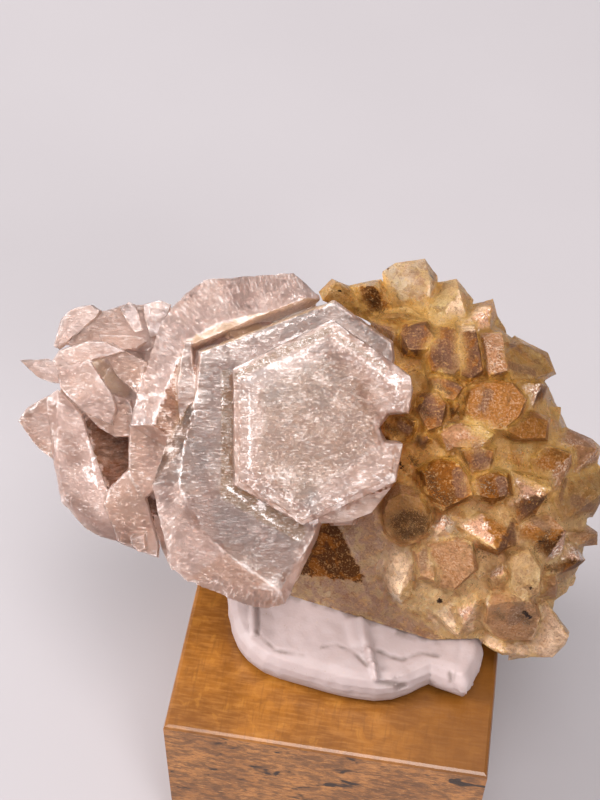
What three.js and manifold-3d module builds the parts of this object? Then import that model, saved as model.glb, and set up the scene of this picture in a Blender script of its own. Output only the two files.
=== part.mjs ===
import * as THREE from "three";
import { ConvexGeometry } from "three/addons/geometries/ConvexGeometry.js";
import { mergeVertices } from "three/addons/utils/BufferGeometryUtils.js";
import Module from "manifold-3d";

// Calcite plates and quartz points on a wood block. Millimetres, z up, the block's front along x.

// Driving dimensions
const blockWidth = 40;
const blockHeight = 30;
const blockEdgeRound = 0.5;
const puttyThick = 5;
const clearance = 0.3;

// The face of the specimen looks up and to the front. On it, x runs right, y runs up and z comes out.
const faceTurn = 8.04;
const faceRise = 50.9;
const faceRoll = 1.33;
const faceCentre = [-8.7, 13.8, 55.1];

const puttyTop = blockHeight + clearance + puttyThick;
const seatLevel = puttyTop + clearance;

const radians = THREE.MathUtils.degToRad;
const specimenTurn = new THREE.Quaternion().setFromEuler(
  new THREE.Euler(radians(90 - faceRise), 0, radians(faceTurn), "ZXY"),
);
specimenTurn.multiply(new THREE.Quaternion().setFromAxisAngle(new THREE.Vector3(0, 0, 1), radians(faceRoll)));
const specimenPlace = new THREE.Matrix4().compose(
  new THREE.Vector3(...faceCentre),
  specimenTurn,
  new THREE.Vector3(1, 1, 1),
);

// Joining and cutting
const wasm = await Module();
wasm.setup();

function solid(geometry) {
  const closed = geometry.clone();
  closed.deleteAttribute("normal");
  closed.deleteAttribute("uv");
  const welded = mergeVertices(closed, 1e-4);
  const index = welded.index ?? { array: [...Array(welded.attributes.position.count).keys()] };
  return new wasm.Manifold(
    new wasm.Mesh({
      numProp: 3,
      vertProperties: new Float32Array(welded.attributes.position.array),
      triVerts: new Uint32Array(index.array),
    }),
  );
}

function geometryOf(shape) {
  const mesh = shape.getMesh();
  const geometry = new THREE.BufferGeometry();
  geometry.setAttribute("position", new THREE.BufferAttribute(new Float32Array(mesh.vertProperties), 3));
  geometry.setIndex(new THREE.BufferAttribute(new Uint32Array(mesh.triVerts), 1));
  geometry.computeVertexNormals();
  return geometry;
}

function joined(solids) {
  return solids.reduce((whole, next) => whole.add(next));
}

// A repeatable number from 0 to 1 for crystal a, feature b
function chance(a, b) {
  const wave = Math.sin(12.9898 * a + 78.233 * b) * 43758.5453;
  return wave - Math.floor(wave);
}

// Calcite plates: each is a thick tablet with a flat face, a rim that is wider, and a smaller back.
// level is the face's height where x and y are 0, lean is how it rises along x and along y,
// drop is how far the rim lies below the face, and rim is how far it stands out all round.
const mainLean = [-0.12, -0.08];
const leftLean = [0.12, 0.08];

const frontPlates = {
  innerStep: {
    face: [[-4.4, 1.2], [2.5, 5.2], [6.8, 2.2], [9.5, -4.6], [0.3, -12], [-5, -8.4]],
    level: 12.5, lean: mainLean, rim: 0.3, drop: 0.4, thick: 2,
  },
  outerStep: {
    face: [[-6.9, 2.2], [2.9, 6.4], [8, 3.2], [11.8, 0], [10.6, -8.8], [0.3, -13.8], [-6.9, -9.2]],
    level: 12.2, lean: mainLean, rim: 0.2, drop: 0.4, thick: 2,
  },
  front: {
    face: [[-7.7, 3.6], [3.8, 9.4], [12.9, 2.8], [13.2, 1.2], [12.7, -0.9], [11.1, -9.5], [0.3, -14.4],
      [-7.5, -9.7]],
    level: 11.9, lean: mainLean, rim: 0.2, drop: 1.6, thick: 3.6,
  },
};

const middlePlates = {
  middleUpper: {
    face: [[-11.6, 5.6], [-0.1, 9.8], [4, 11.6], [10.8, 6.8], [11.1, 5.1], [8.7, -2.4], [8.2, -8.2],
      [0.4, -13.4], [-9.9, -9.3], [-12.2, 0]],
    level: 8.9, lean: mainLean, rim: 0.5, drop: 2, thick: 6,
  },
  middleLower: {
    face: [[-12.3, 0], [-13.5, -5.3], [-14, -9.9], [-12, -14.5], [-8.7, -17.7], [-2.3, -22.2], [1.3, -16.5],
      [2.6, -13.5], [1.2, -2.4]],
    level: 8.9, lean: mainLean, drop: 3.2, thick: 7,
    rimOutline: [[-14.6, -1.2], [-16, -8.3], [-17.5, -10], [-15.4, -19.4], [-13.5, -21.2], [-9.5, -22.9],
      [-5.6, -24.5], [-3.4, -24.7], [-1.7, -24.2], [2, -16.9], [3, -13.8], [1.2, -2.4]],
  },
  moatBlade: {
    face: [[-13.7, 6.8], [-12.8, 6.9], [-12.4, 2.4], [-12.3, -1.9], [-13.7, -4.5], [-14.3, -1.2],
      [-14.4, 1.8]],
    level: 7.6, lean: mainLean, rim: 0.2, drop: 1, thick: 5,
  },
};

const behindPlate = {
  face: [[-13.4, 7.1], [-9.1, 9.3], [-0.4, 10.4], [1.3, 11.4], [3.5, 0], [-5.9, -9.4], [-17.4, -2.9],
    [-14.6, 2.4]],
  level: 7.8, lean: [-0.05, -0.05], drop: 3.6, thick: 8,
  rimOutline: [[-17.5, 7.2], [-16.9, 9], [-15.4, 11.3], [-13.7, 13], [-11.5, 14.6], [-0.8, 15.5], [2.4, 12.7],
    [5.4, 0], [-6, -12], [-20.5, -3], [-19.6, 0.6]],
};

const leftPlates = {
  crossing: {
    face: [[-20.5, -3.2], [-17.9, -3.1], [-15.5, -5.9], [-14.6, -8.1], [-17.7, -9.8], [-18.9, -12],
      [-20.6, -9]],
    level: 7.7, lean: leftLean, rim: 0.4, drop: 1.2, thick: 5,
  },
  lower: {
    face: [[-20.7, -8.4], [-18.9, -10.8], [-19.2, -12.4], [-18, -14.7], [-17.1, -17.5], [-17.3, -19],
      [-19.3, -18.3], [-22, -17.2], [-23.7, -12.7], [-22.9, -10.6]],
    level: 8.4, lean: [0.15, 0.1], rim: 0.3, drop: 1.2, thick: 5,
  },
  slotWall: {
    face: [[-16, -15], [-15.1, -21], [-16, -21], [-17.2, -18], [-18.2, -14]],
    level: 3, lean: [0.1, 0.1], rim: 0.2, drop: 0.6, thick: 3,
  },
  outer: {
    face: [[-29.5, -0.2], [-26.6, -1.5], [-25.5, -6.1], [-24.6, -11.2], [-23.1, -12.2], [-22.2, -15.9],
      [-26.4, -14.1], [-29, -12.1], [-29.9, -6.7]],
    level: 11.7, lean: [0.3, 0.2], drop: 1.8, thick: 6,
    rimOutline: [[-31.3, 0.2], [-29.7, 1.5], [-26.9, -1], [-23.9, -11.4], [-22.2, -17.7], [-24.8, -17],
      [-26.7, -16], [-29.8, -12.7], [-30.7, -7.3]],
  },
  end: {
    face: [[-35.1, -2.6], [-34, -1], [-32, 0], [-30.1, 1.2], [-29.7, -4.9], [-30.7, -7.3],
      [-32.5, -6.1], [-34, -4]],
    level: 5.5, lean: [0.2, 0], rim: 0.2, drop: 1.5, thick: 4,
  },
  upperLeft: {
    face: [[-30.2, 6.6], [-29.8, 8.2], [-29.3, 9.8], [-28.5, 10.8], [-27.2, 11.4], [-25.6, 11.6],
      [-24.4, 10.9],
      [-25.1, 10], [-28.2, 7.6], [-29.5, 6.3]],
    level: 4.2, lean: [0.1, 0], rim: 0.2, drop: 1, thick: 4,
  },
  upperRough: {
    face: [[-28, 9.8], [-24.6, 10.7], [-21.4, 11.6], [-17.2, 11.6], [-15.4, 11.3], [-17.2, 7.4],
      [-18.7, 5.9],
      [-23.4, 6.4], [-28.5, 6.8]],
    level: 0.8, lean: [0, 0], rim: 0.3, drop: 1, thick: 5,
  },
  whiteBladeLeft: {
    face: [[-22, 11], [-20.9, 12], [-20, 11.7], [-19, 8.4], [-20.2, 8.2], [-21, 9.5]],
    level: 2.8, lean: [0, 0], rim: 0.1, drop: 0.6, thick: 3,
  },
  whiteBladeRight: {
    face: [[-19.2, 11.6], [-17.1, 12.2], [-15.6, 11.7], [-17.1, 7.9], [-18.3, 7.6], [-18.9, 9.8]],
    level: 2.4, lean: [0, 0], rim: 0.1, drop: 0.6, thick: 3,
  },
  upperLobe: {
    face: [[-24.2, 7.9], [-19.4, 7.7], [-18.5, 7.1], [-19.9, 6.2], [-21.8, 6.2], [-24, 7.1]],
    level: 3, lean: [0, 0.1], rim: 0.3, drop: 0.6, thick: 3,
  },
  arrowUpper: {
    face: [[-29.5, 4.7], [-28.6, 6], [-25.3, 7], [-23.3, 6.9], [-20.9, 5.8], [-23.3, 5.4], [-25.3, 4.7],
      [-28.6, 3.8]],
    level: 6.2, lean: [0, 0], rim: 0.3, drop: 1, thick: 5,
  },
  arrowInner: {
    face: [[-23.4, 5.5], [-21.6, 6.1], [-18.4, 4.6], [-18.9, 3.1], [-19.6, 0.8], [-20.8, 2.5], [-22, 2.9]],
    level: 5, lean: [0, 0.1], rim: 0.2, drop: 1, thick: 4,
  },
  arrowLower: {
    face: [[-29.2, 4.1], [-24.9, 4.5], [-22.3, 0.6], [-21.9, -1], [-22.4, -3], [-24.4, -2.1],
      [-26, -1.3], [-28.6, 1.4]],
    level: 10.2, lean: [0.15, 0.1], rim: 0.2, drop: 1, thick: 5,
  },
  arrowFoot: {
    face: [[-26.2, -1.5], [-24.3, -3.4], [-22.5, -4.5], [-20.9, -4.4], [-20, -2.4], [-20.6, 0],
      [-22.8, 0.8], [-25.5, 0]],
    level: 4.6, lean: [0.05, 0.05], rim: 0.2, drop: 1, thick: 4,
  },
  spike: {
    face: [[-34.2, 4.9], [-30.8, 5], [-27, 3.7], [-28, 2.1], [-30.2, 2.1], [-32.1, 2.8]],
    level: 2.5, lean: [0, 0], rim: 0.1, drop: 1, thick: 2.5,
  },
  knob: {
    face: [[-20.4, -16.5], [-18.7, -16.1], [-18.5, -17.8], [-19.4, -18.3], [-20.3, -17.4]],
    level: 5, lean: [0, 0], rim: 0.2, drop: 1, thick: 3,
  },
  floor: {
    face: [[-29.5, 6], [-24.8, 10.2], [-16.7, 10.8], [-12.3, 4.9], [-12.4, -12.4], [-17.4, -17],
      [-22.4, -16.4],
      [-28.4, -12], [-30.6, -5], [-29.6, 0.6]],
    level: 0.9, lean: leftLean, rim: 0.2, drop: 2, thick: 6,
  },
};

// The bite out of the front plate's right edge
const notch = {
  face: [[10.2, -1.4], [16, -1.6], [16, -5.1], [9.7, -5], [9, -3.2]],
  level: 14, lean: mainLean, rim: 0.1, drop: 1, thick: 8,
};

function middleOf(outline) {
  const sum = outline.reduce((total, [x, y]) => [total[0] + x, total[1] + y], [0, 0]);
  return sum.map((total) => total / outline.length);
}

function spread(outline, distance) {
  const [middleX, middleY] = middleOf(outline);
  return outline.map(([x, y]) => {
    const reach = Math.hypot(x - middleX, y - middleY);
    return [x + ((x - middleX) * distance) / reach, y + ((y - middleY) * distance) / reach];
  });
}

// swell makes a slightly larger copy, used to cut room for the plate in what it grew on
function tablet({ face, rim, rimOutline, level, lean, drop, thick }, swell = 0) {
  const widest = rimOutline ?? spread(face, rim);
  const rings = [
    { outline: spread(face, swell), height: swell },
    { outline: spread(widest, swell), height: -drop },
    { outline: spread(spread(face, -1), swell), height: -thick - swell },
  ];
  const corners = rings.flatMap(({ outline, height }) =>
    outline.map(([x, y]) => new THREE.Vector3(x, y, level + lean[0] * x + lean[1] * y + height)),
  );
  return solid(new ConvexGeometry(corners));
}

// Plates on the far side, each an uneven six-sided tablet about a centre, with its face turned a given way
const farFaceShare = 0.8;
const farReach = { least: 0.85, most: 1.1 };
const turnEach = 40;
const farPlates = [
  { centre: [-23, 1, -4], facing: [-0.5, 0.3, -0.8], radius: 7.5, thick: 6 },
  { centre: [-14, 4, -5], facing: [0.1, 0.6, -0.8], radius: 9.5, thick: 7 },
  { centre: [-12, -8, -4], facing: [-0.2, -0.6, -0.75], radius: 10.5, thick: 7 },
  { centre: [-3, 2, -2], facing: [0, 0.5, -0.85], radius: 10, thick: 7 },
  { centre: [-23.5, -6, -3], facing: [-0.6, -0.4, -0.7], radius: 7, thick: 5 },
  { centre: [-8, 7, -1], facing: [0.1, 0.9, -0.4], radius: 8, thick: 5 },
  { centre: [-5, -11, 0], facing: [0.2, -0.7, -0.7], radius: 9, thick: 5 },
];

function farPlate({ centre, facing, radius, thick }, order, swell = 0) {
  const turn = new THREE.Quaternion().setFromUnitVectors(
    new THREE.Vector3(0, 0, 1),
    new THREE.Vector3(...facing).normalize(),
  );
  const corners = [];
  for (let side = 0; side < 6; side += 1) {
    const angle = radians(60 * side + turnEach * order);
    const reach = radius * THREE.MathUtils.lerp(farReach.least, farReach.most, chance(order, side));
    for (const [share, height] of [[farFaceShare, thick / 2], [1, 0], [farFaceShare, -thick / 2]]) {
      const out = reach * share + swell;
      const up = height + Math.sign(height) * swell;
      corners.push(new THREE.Vector3(out * Math.cos(angle), out * Math.sin(angle), up));
    }
  }
  const placed = corners.map((corner) => corner.applyQuaternion(turn).add(new THREE.Vector3(...centre)));
  return solid(new ConvexGeometry(placed));
}

// The plate behind has a moat sunk into it round the middle plates
const moatWidth = 1.9;
const moatShape = { ...middlePlates.middleUpper, level: 10, thick: 4.5, rim: 0.1 };

function calcite(swell = 0) {
  const platesOf = (group) => Object.values(group).map((shape) => tablet(shape, swell));
  const front = joined(platesOf(frontPlates)).subtract(tablet(notch, -swell));
  const whole = tablet(behindPlate, swell);
  const behind = swell > 0 ? whole : whole.subtract(tablet(moatShape, moatWidth));
  const far = farPlates.map((shape, order) => farPlate(shape, order, swell));
  return joined([behind, front, ...platesOf(middlePlates), ...platesOf(leftPlates), ...far]);
}

// Quartz: rounded, slightly uneven masses with crystals that stand out from them
const unevenness = 0.08;
const dome = { centre: [21, -8, -5], size: [13.5, 22, 13], tilt: 20 };
const lowerDome = { centre: [17, -19, -6], size: [10, 11, 9], tilt: 0 };
const matrix = { centre: [4, -6, -8], size: [15, 14, 11], tilt: 0 };

function mass({ centre, size, tilt }) {
  const ball = new THREE.IcosahedronGeometry(1, 3).deleteAttribute("normal").deleteAttribute("uv");
  const geometry = mergeVertices(ball);
  const corners = geometry.attributes.position;
  for (let order = 0; order < corners.count; order += 1) {
    const corner = new THREE.Vector3().fromBufferAttribute(corners, order);
    corner.multiplyScalar(1 + unevenness * (chance(order, size[0]) - 0.5));
    corners.setXYZ(order, ...corner.toArray());
  }
  geometry.scale(...size);
  geometry.rotateZ(radians(tilt));
  geometry.translate(...centre);
  return solid(geometry);
}

// The foot of the quartz: broad smooth faces from its lower front edge up to where the points begin
const footCorners = [
  [-1, -25.3, -5.3], [3, -26.4, -4.6], [9.4, -28.2, -3.1], [17.4, -30.5, -1.4], [25, -31.5, -2],
  [-3, -21, -3], [2, -22, -1], [8, -22.5, 0.5], [13, -19, 1], [-3, -14, 1], [4, -14, 2.5], [10, -12, 3],
  [-9, -6, -16], [-6, 4, -12], [8, 8, -14], [24, -6, -18], [28, -20, -8],
];

function foot() {
  return solid(new ConvexGeometry(footCorners.map((corner) => new THREE.Vector3(...corner))));
}

// Crystals that show on the specimen's face. Each stands on an outline on the dome's surface. It ends in a
// tip where one is given, and otherwise in a flat slope.
const shownCrystals = {
  // Along the top
  topLeft: { outline: [[2.5, 13.5], [4, 15], [6.5, 14], [5.5, 12], [3, 12.5]], tip: [4.5, 14.5] },
  topDark: { outline: [[5.5, 14], [7.5, 14.5], [10, 15], [11.5, 12.5], [8, 11], [6, 11.5]], tip: [9, 14] },
  topClear: {
    outline: [[10.5, 16], [12, 17], [15.5, 17.5], [17, 15.5], [17, 14], [15.5, 12], [12.5, 12.5], [10.5, 14]],
    tip: [16, 14.5],
  },
  topYellow: {
    outline: [[17, 14.5], [19.5, 15], [21.5, 12.5], [20.5, 9.5], [17, 9.5], [15.5, 11.5]],
    tip: [19.5, 13.5],
  },
  topLens: { outline: [[8.5, 10], [10.5, 11], [13.5, 11], [16, 9.5], [12, 9]], tip: [12, 10] },
  topPink: { outline: [[8.5, 10], [12, 9], [12.5, 7.5], [11, 6.5]], tip: [11.5, 8] },
  topCream: {
    outline: [[18, 8.5], [20.5, 11.5], [24, 12.5], [24.5, 10.5], [23, 8], [20.5, 7.5]],
    tip: [23.5, 11.5],
  },
  topPurple: { outline: [[12, 8], [13, 9], [15, 9], [16, 7.5], [15, 6], [13, 6]] },
  topHexagon: {
    outline: [[15.5, 6.5], [17, 8], [18.5, 8.5], [19, 6.5], [19.5, 4.5], [18, 3], [15.5, 3.5]],
  },
  // Upper right
  sliver: { outline: [[19, 8], [21, 8.5], [21.5, 3.5], [20, 2.5], [19, 3]] },
  slab: { outline: [[22, 7.5], [24.5, 8], [24.5, 3.5], [22.5, 3]] },
  olive: { outline: [[24.5, 5.5], [27, 7], [30, 5.5], [31, 3.5], [27.5, 2.5], [25, 2.5]] },
  glint: { outline: [[24.5, 2], [29.5, 2.5], [31, 1.5], [29.5, 0], [27.5, -1.5], [25.5, 0]], tip: [29, 2] },
  upperDark: { outline: [[15.5, 2.5], [17, 2.5], [19, 1.5], [18, 0], [16, 0.5]] },
  upperOval: { outline: [[14.5, 0], [16, 1], [17, -0.5], [16.5, -3], [15, -3.5], [14, -1.5]] },
  upperSmall: { outline: [[17, 0], [18.5, 0.5], [19, -1], [17.5, -2.5]], tip: [18.5, -0.5] },
  broad: {
    outline: [[20, 1], [22, 2], [25, 2], [26.5, 0], [25.5, -2], [23.5, -3.5], [20.5, -3], [19.5, -1]],
  },
  edgeUpper: { outline: [[24, -3.5], [27.5, -2], [29.5, -2.5], [29, -4.5], [26, -4.5]] },
  // Across the middle
  besideNotch: { outline: [[9.5, -3.5], [10.5, -1.5], [13.5, -2.5], [13, -4.5], [11, -5]] },
  smallMiddle: { outline: [[13.5, -4], [14.5, -3.5], [15.5, -5], [14, -5.5]], tip: [15, -4.5] },
  oval: { outline: [[16.5, -4], [18, -3], [21, -3], [22.5, -4], [21, -5.5], [18, -5.5]] },
  middleDark: { outline: [[19, -6], [21, -5.5], [22.5, -6], [22, -8], [20, -8.5]] },
  golden: {
    outline: [[14.5, -8.5], [16.5, -7.5], [18.5, -7.5], [19.5, -9], [20, -11], [17, -12.5], [15, -11]],
  },
  goldenSmall: { outline: [[20, -9.5], [22, -8.5], [24, -9], [24.5, -11], [22.5, -11.5], [20.5, -11]] },
  brightTriangle: {
    outline: [[25, -8.5], [24.5, -12.5], [26, -14.5], [28, -13.5], [30, -10.5], [29.5, -9]],
    tip: [29.5, -10.5],
  },
  rightPointed: {
    outline: [[27.5, -7], [29.5, -5.5], [33.5, -6], [33.5, -8.5], [31, -11], [28.5, -10]],
    tip: [32.5, -6.5],
  },
  farRight: {
    outline: [[31, -5], [33, -3.5], [36.5, -5], [37.5, -6], [37, -8], [33, -9.5], [31.5, -7]],
    tip: [36.5, -6],
  },
  rightClear: {
    outline: [[32, -9.5], [36.5, -7.5], [38, -9], [37.5, -12.5], [36.5, -14.5], [32, -14.5], [30.5, -12]],
    tip: [37, -11.5],
  },
  // Below the middle
  speckled: {
    outline: [[10.5, -12], [12, -11], [14, -11.5], [15, -13.5], [15, -15.5], [12.5, -17], [10.5, -16],
      [10, -14]],
  },
  flaky: {
    outline: [[15.5, -15.5], [17, -13.5], [18.5, -14.5], [18.5, -16.5], [15.5, -17]],
    tip: [17, -15],
  },
  wedge: {
    outline: [[18, -14.5], [21.5, -13.5], [25, -14], [26, -17], [23.5, -18.5], [21, -17.5], [19.5, -16]],
    tip: [23, -17.5],
  },
  brownWedge: {
    outline: [[26, -15], [29.5, -13.5], [31, -15.5], [32, -17], [31.5, -19.5], [28.5, -20.5], [26.5, -18]],
    tip: [31.5, -15.5],
  },
  lilacTip: {
    outline: [[30, -19], [31, -17], [33.5, -17.5], [35.5, -20], [34, -21], [30.5, -21.5], [29, -21]],
    tip: [34, -19.5],
  },
  lilacSmall: {
    outline: [[32.5, -16], [35.5, -15.5], [37, -16.5], [37, -18], [33.5, -18]],
    tip: [36.5, -16.5],
  },
  cream: {
    outline: [[10, -19], [11, -18], [14, -18], [14, -21], [14, -24], [12.5, -25], [10.5, -23.5],
      [9.5, -21.5]],
    tip: [12, -23.5],
  },
  lowerSmall: { outline: [[14, -18.5], [15.5, -18], [16, -19], [16, -21.5], [14.5, -21]] },
  lilacHexagon: {
    outline: [[15.5, -17.5], [18, -16.5], [20, -17], [20.5, -20], [18.5, -22.5], [16.5, -22]],
  },
  whiteFacet: {
    outline: [[22.5, -21.5], [24, -19.5], [25.5, -20.5], [25, -23], [23, -23]],
    tip: [24, -20.5],
  },
  lowerRight: { outline: [[25, -18.5], [27, -18], [28.5, -20], [28.5, -23], [26.5, -24], [25, -22]] },
  // Along the bottom
  greyEdge: {
    outline: [[28.5, -21.5], [31, -21], [31.5, -23], [31.5, -24.5], [29, -24]],
    tip: [30.5, -22],
  },
  creamFoot: { outline: [[16, -25.5], [18, -24], [20, -25.5], [20, -30], [18, -28.5]], tip: [19.5, -29] },
  whitePrism: {
    outline: [[19, -26], [20.5, -23], [23, -23.5], [23.5, -27], [21.5, -29.5], [19.5, -30]],
    tip: [21, -24],
  },
  brownFoot: {
    outline: [[22.5, -24.5], [24.5, -24], [27.5, -24], [29, -26.5], [28.5, -29.5], [25, -29.5],
      [22.5, -27]],
  },
  peachTip: {
    outline: [[28.5, -27], [30, -24.5], [33.5, -29], [33, -30.5], [31.5, -32], [28.5, -32]],
    tip: [33, -29],
  },
  peachFoot: {
    outline: [[21, -29.5], [25, -29], [29, -30], [29.5, -32], [25, -32.5], [22.5, -31]],
    tip: [25, -31],
  },
};

const tipFootOutset = 0.2;
const flatFootOutset = 1.1;
const rootDepth = 5;
const flatHeight = 2.6;
const tipHeight = 3.4;
const steepestSlope = 1;
const slopeVariation = 0.5;
const outward = new THREE.Vector3(0, 0, 1);

// How high a mass's surface stands at x, y, and which way it faces there. Past the mass's edge the surface
// is taken as lowestHigh of the mass's height.
const lowestHigh = 0.2;

function surfaceOf({ centre, size, tilt }, x, y) {
  const half = new THREE.Vector3(...size);
  const flat = new THREE.Vector3(x - centre[0], y - centre[1], 0);
  flat.applyAxisAngle(outward, -radians(tilt)).divide(half);
  const high = Math.sqrt(Math.max(lowestHigh ** 2, 1 - flat.lengthSq()));
  const facing = flat.setZ(high).divide(half).applyAxisAngle(outward, radians(tilt)).normalize();
  return { height: centre[2] + size[2] * high, facing };
}

function surface(x, y) {
  const upper = surfaceOf(dome, x, y);
  const lower = surfaceOf(lowerDome, x, y);
  return upper.height > lower.height ? upper : lower;
}

function shownCrystal({ outline, tip }, order) {
  const corners = [];
  for (const [x, y] of spread(outline, tip ? tipFootOutset : flatFootOutset)) {
    const { height, facing } = surface(x, y);
    corners.push(new THREE.Vector3(x, y, height));
    corners.push(new THREE.Vector3(x, y, height).addScaledVector(facing, -rootDepth));
  }
  if (tip) {
    corners.push(new THREE.Vector3(...tip, surface(...tip).height + tipHeight));
  } else {
    const middle = middleOf(outline);
    const { height, facing } = surface(...middle);
    const lean = [-facing.x / facing.z, -facing.y / facing.z].map((rise, axis) => {
      const slope = THREE.MathUtils.clamp(rise, -steepestSlope, steepestSlope);
      return slope + slopeVariation * (chance(order, axis) - 0.5);
    });
    for (const [x, y] of outline) {
      const rise = lean[0] * (x - middle[0]) + lean[1] * (y - middle[1]);
      corners.push(new THREE.Vector3(x, y, height + flatHeight + rise));
    }
  }
  return solid(new ConvexGeometry(corners));
}

// Where three of the planes meet, inside all the others, there is a corner
function cornersWithin(planes) {
  const corners = [];
  for (let i = 0; i < planes.length; i += 1) {
    for (let j = i + 1; j < planes.length; j += 1) {
      for (let k = j + 1; k < planes.length; k += 1) {
        const corner = meeting(planes[i], planes[j], planes[k]);
        if (corner && planes.every(({ normal, distance }) => normal.dot(corner) <= distance + 1e-6)) {
          corners.push(corner);
        }
      }
    }
  }
  return corners;
}

function meeting(first, second, third) {
  const sideways = new THREE.Vector3().crossVectors(second.normal, third.normal);
  const volume = first.normal.dot(sideways);
  if (Math.abs(volume) < 1e-6) {
    return null;
  }
  const corner = sideways.multiplyScalar(first.distance);
  corner.addScaledVector(new THREE.Vector3().crossVectors(third.normal, first.normal), second.distance);
  corner.addScaledVector(new THREE.Vector3().crossVectors(first.normal, second.normal), third.distance);
  return corner.divideScalar(volume);
}

// A quartz point has six uneven sides and ends in three broad and three narrow slopes, inset by shares of
// its width. Points lean towards the specimen's edge.
const slopeFromAxis = radians(51.8);
const lengthToWidth = 1.5;
const edgeLean = 0.65;
const sideReach = { least: 1.05, most: 1.4 };
const broadInset = { least: 0, most: 0.03 };
const narrowInset = { least: 0.06, most: 0.16 };

function quartzPoint({ tip, centre, wide }, order) {
  const axis = tip.clone().sub(new THREE.Vector3(...centre));
  axis.z *= edgeLean;
  const turn = new THREE.Quaternion().setFromUnitVectors(outward, axis.normalize());
  const planes = [{ normal: new THREE.Vector3(0, 0, -1), distance: wide * lengthToWidth }];
  for (let side = 0; side < 6; side += 1) {
    const angle = radians(60 * side + 360 * chance(order, 9));
    const around = new THREE.Vector3(Math.cos(angle), Math.sin(angle), 0);
    const reach = (wide / 2) * THREE.MathUtils.lerp(sideReach.least, sideReach.most, chance(order, side));
    const slope = around.clone().multiplyScalar(Math.sin(slopeFromAxis));
    slope.z = Math.cos(slopeFromAxis);
    const insets = side % 2 === 0 ? broadInset : narrowInset;
    const inset = THREE.MathUtils.lerp(insets.least, insets.most, chance(order, side + 20));
    planes.push({ normal: around, distance: reach });
    planes.push({ normal: slope, distance: wide * inset });
  }
  const corners = cornersWithin(planes).map((corner) =>
    corner.applyQuaternion(turn).add(tip),
  );
  return solid(new ConvexGeometry(corners));
}

// The masses are covered evenly with points, by turns of the golden angle. Those on the dome's shown side are
// small, and the matrix has them only on its far side.
const goldenAngle = radians(137.5);
const domePointCount = 64;
const matrixPointCount = 40;
const farSide = -0.05;
const smallPoint = { wide: 2.6, reach: 1.03 };
const farPoint = { wide: 4.5, reach: 1.09 };
const widthVariation = 2;

function coverPoints({ centre, size, tilt }, count, onShownSide) {
  const points = [];
  for (let order = 0; order < count; order += 1) {
    const z = 1 - (2 * order + 1) / count;
    const around = goldenAngle * order;
    const flat = Math.sqrt(1 - z * z);
    const shown = z > farSide;
    const kind = shown ? smallPoint : farPoint;
    const tip = new THREE.Vector3(flat * Math.cos(around), flat * Math.sin(around), z);
    tip.multiply(new THREE.Vector3(...size)).multiplyScalar(kind.reach);
    tip.applyAxisAngle(outward, radians(tilt)).add(new THREE.Vector3(...centre));
    if (!shown || onShownSide) {
      points.push({ tip, centre, wide: kind.wide + widthVariation * chance(order, 40) });
    }
  }
  return points;
}

// Nothing reaches down into the putty, and to the right of the block nothing reaches below its top
const sideGap = 1;

function baseCut() {
  const size = 120;
  const overBlock = new THREE.BoxGeometry(size, size, size);
  overBlock.translate(blockWidth / 2 + sideGap - size / 2, 0, seatLevel - size / 2);
  const besideBlock = new THREE.BoxGeometry(size, size, size);
  besideBlock.translate(0, 0, blockHeight + sideGap - size / 2);
  const toFace = specimenPlace.clone().invert();
  return joined([overBlock, besideBlock].map((geometry) => solid(geometry.applyMatrix4(toFace))));
}

function quartz() {
  const masses = [dome, lowerDome, matrix].map(mass);
  const shown = Object.values(shownCrystals).map(shownCrystal);
  const covering = [
    ...coverPoints(dome, domePointCount, true),
    ...coverPoints(matrix, matrixPointCount, false),
  ];
  const cover = covering.map(quartzPoint);
  return joined([...masses, foot(), ...shown, ...cover]).subtract(calcite(clearance)).subtract(baseCut());
}

// Wood block
function woodBlock() {
  const side = blockWidth - 2 * blockEdgeRound;
  const square = new THREE.Shape();
  square.moveTo(-side / 2, -side / 2);
  square.lineTo(side / 2, -side / 2);
  square.lineTo(side / 2, side / 2);
  square.lineTo(-side / 2, side / 2);
  const geometry = new THREE.ExtrudeGeometry(square, {
    depth: blockHeight - 2 * blockEdgeRound,
    bevelThickness: blockEdgeRound,
    bevelSize: blockEdgeRound,
    bevelSegments: 2,
  });
  geometry.translate(0, 0, blockEdgeRound);
  return geometry;
}

// Putty pad
const puttyRound = 2;
const puttyEdgePoints = 48;
const puttyOutline = [[-15, 2], [-14.5, -5], [-11, -10], [-4, -12.3], [6, -13], [10, -11], [13, -8.6],
  [16.5, -9.4], [17.6, -3], [17, 6], [12, 13], [0, 15], [-11, 12]];

function puttyPad() {
  const edge = new THREE.CatmullRomCurve3(
    spread(puttyOutline, -puttyRound).map(([x, y]) => new THREE.Vector3(x, y, 0)),
    true,
  );
  const around = edge.getSpacedPoints(puttyEdgePoints).slice(0, puttyEdgePoints);
  const shape = new THREE.Shape(around.map(({ x, y }) => new THREE.Vector2(x, y)));
  const geometry = new THREE.ExtrudeGeometry(shape, {
    depth: puttyThick - 2 * puttyRound,
    bevelThickness: puttyRound,
    bevelSize: puttyRound,
    bevelSegments: 3,
  });
  geometry.translate(0, 0, blockHeight + clearance + puttyRound);
  return geometry;
}

function piece(name, geometry, colour, roughness) {
  const material = new THREE.MeshStandardMaterial({ color: colour, roughness, metalness: 0 });
  const mesh = new THREE.Mesh(geometry, material);
  mesh.name = name;
  return mesh;
}

const specimen = new THREE.Group();
specimen.position.set(...faceCentre);
specimen.quaternion.copy(specimenTurn);
specimen.add(piece("calcite_cluster", geometryOf(calcite()), 0xcbbbb6, 0.3));
specimen.add(piece("quartz_cluster", geometryOf(quartz()), 0xb4873c, 0.3));

const part = new THREE.Group();
part.add(piece("wood_block", woodBlock(), 0xaf7d3c, 0.4));
part.add(piece("putty", puttyPad(), 0xe1d7d7, 0.6));
part.add(specimen);

export default part;
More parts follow.
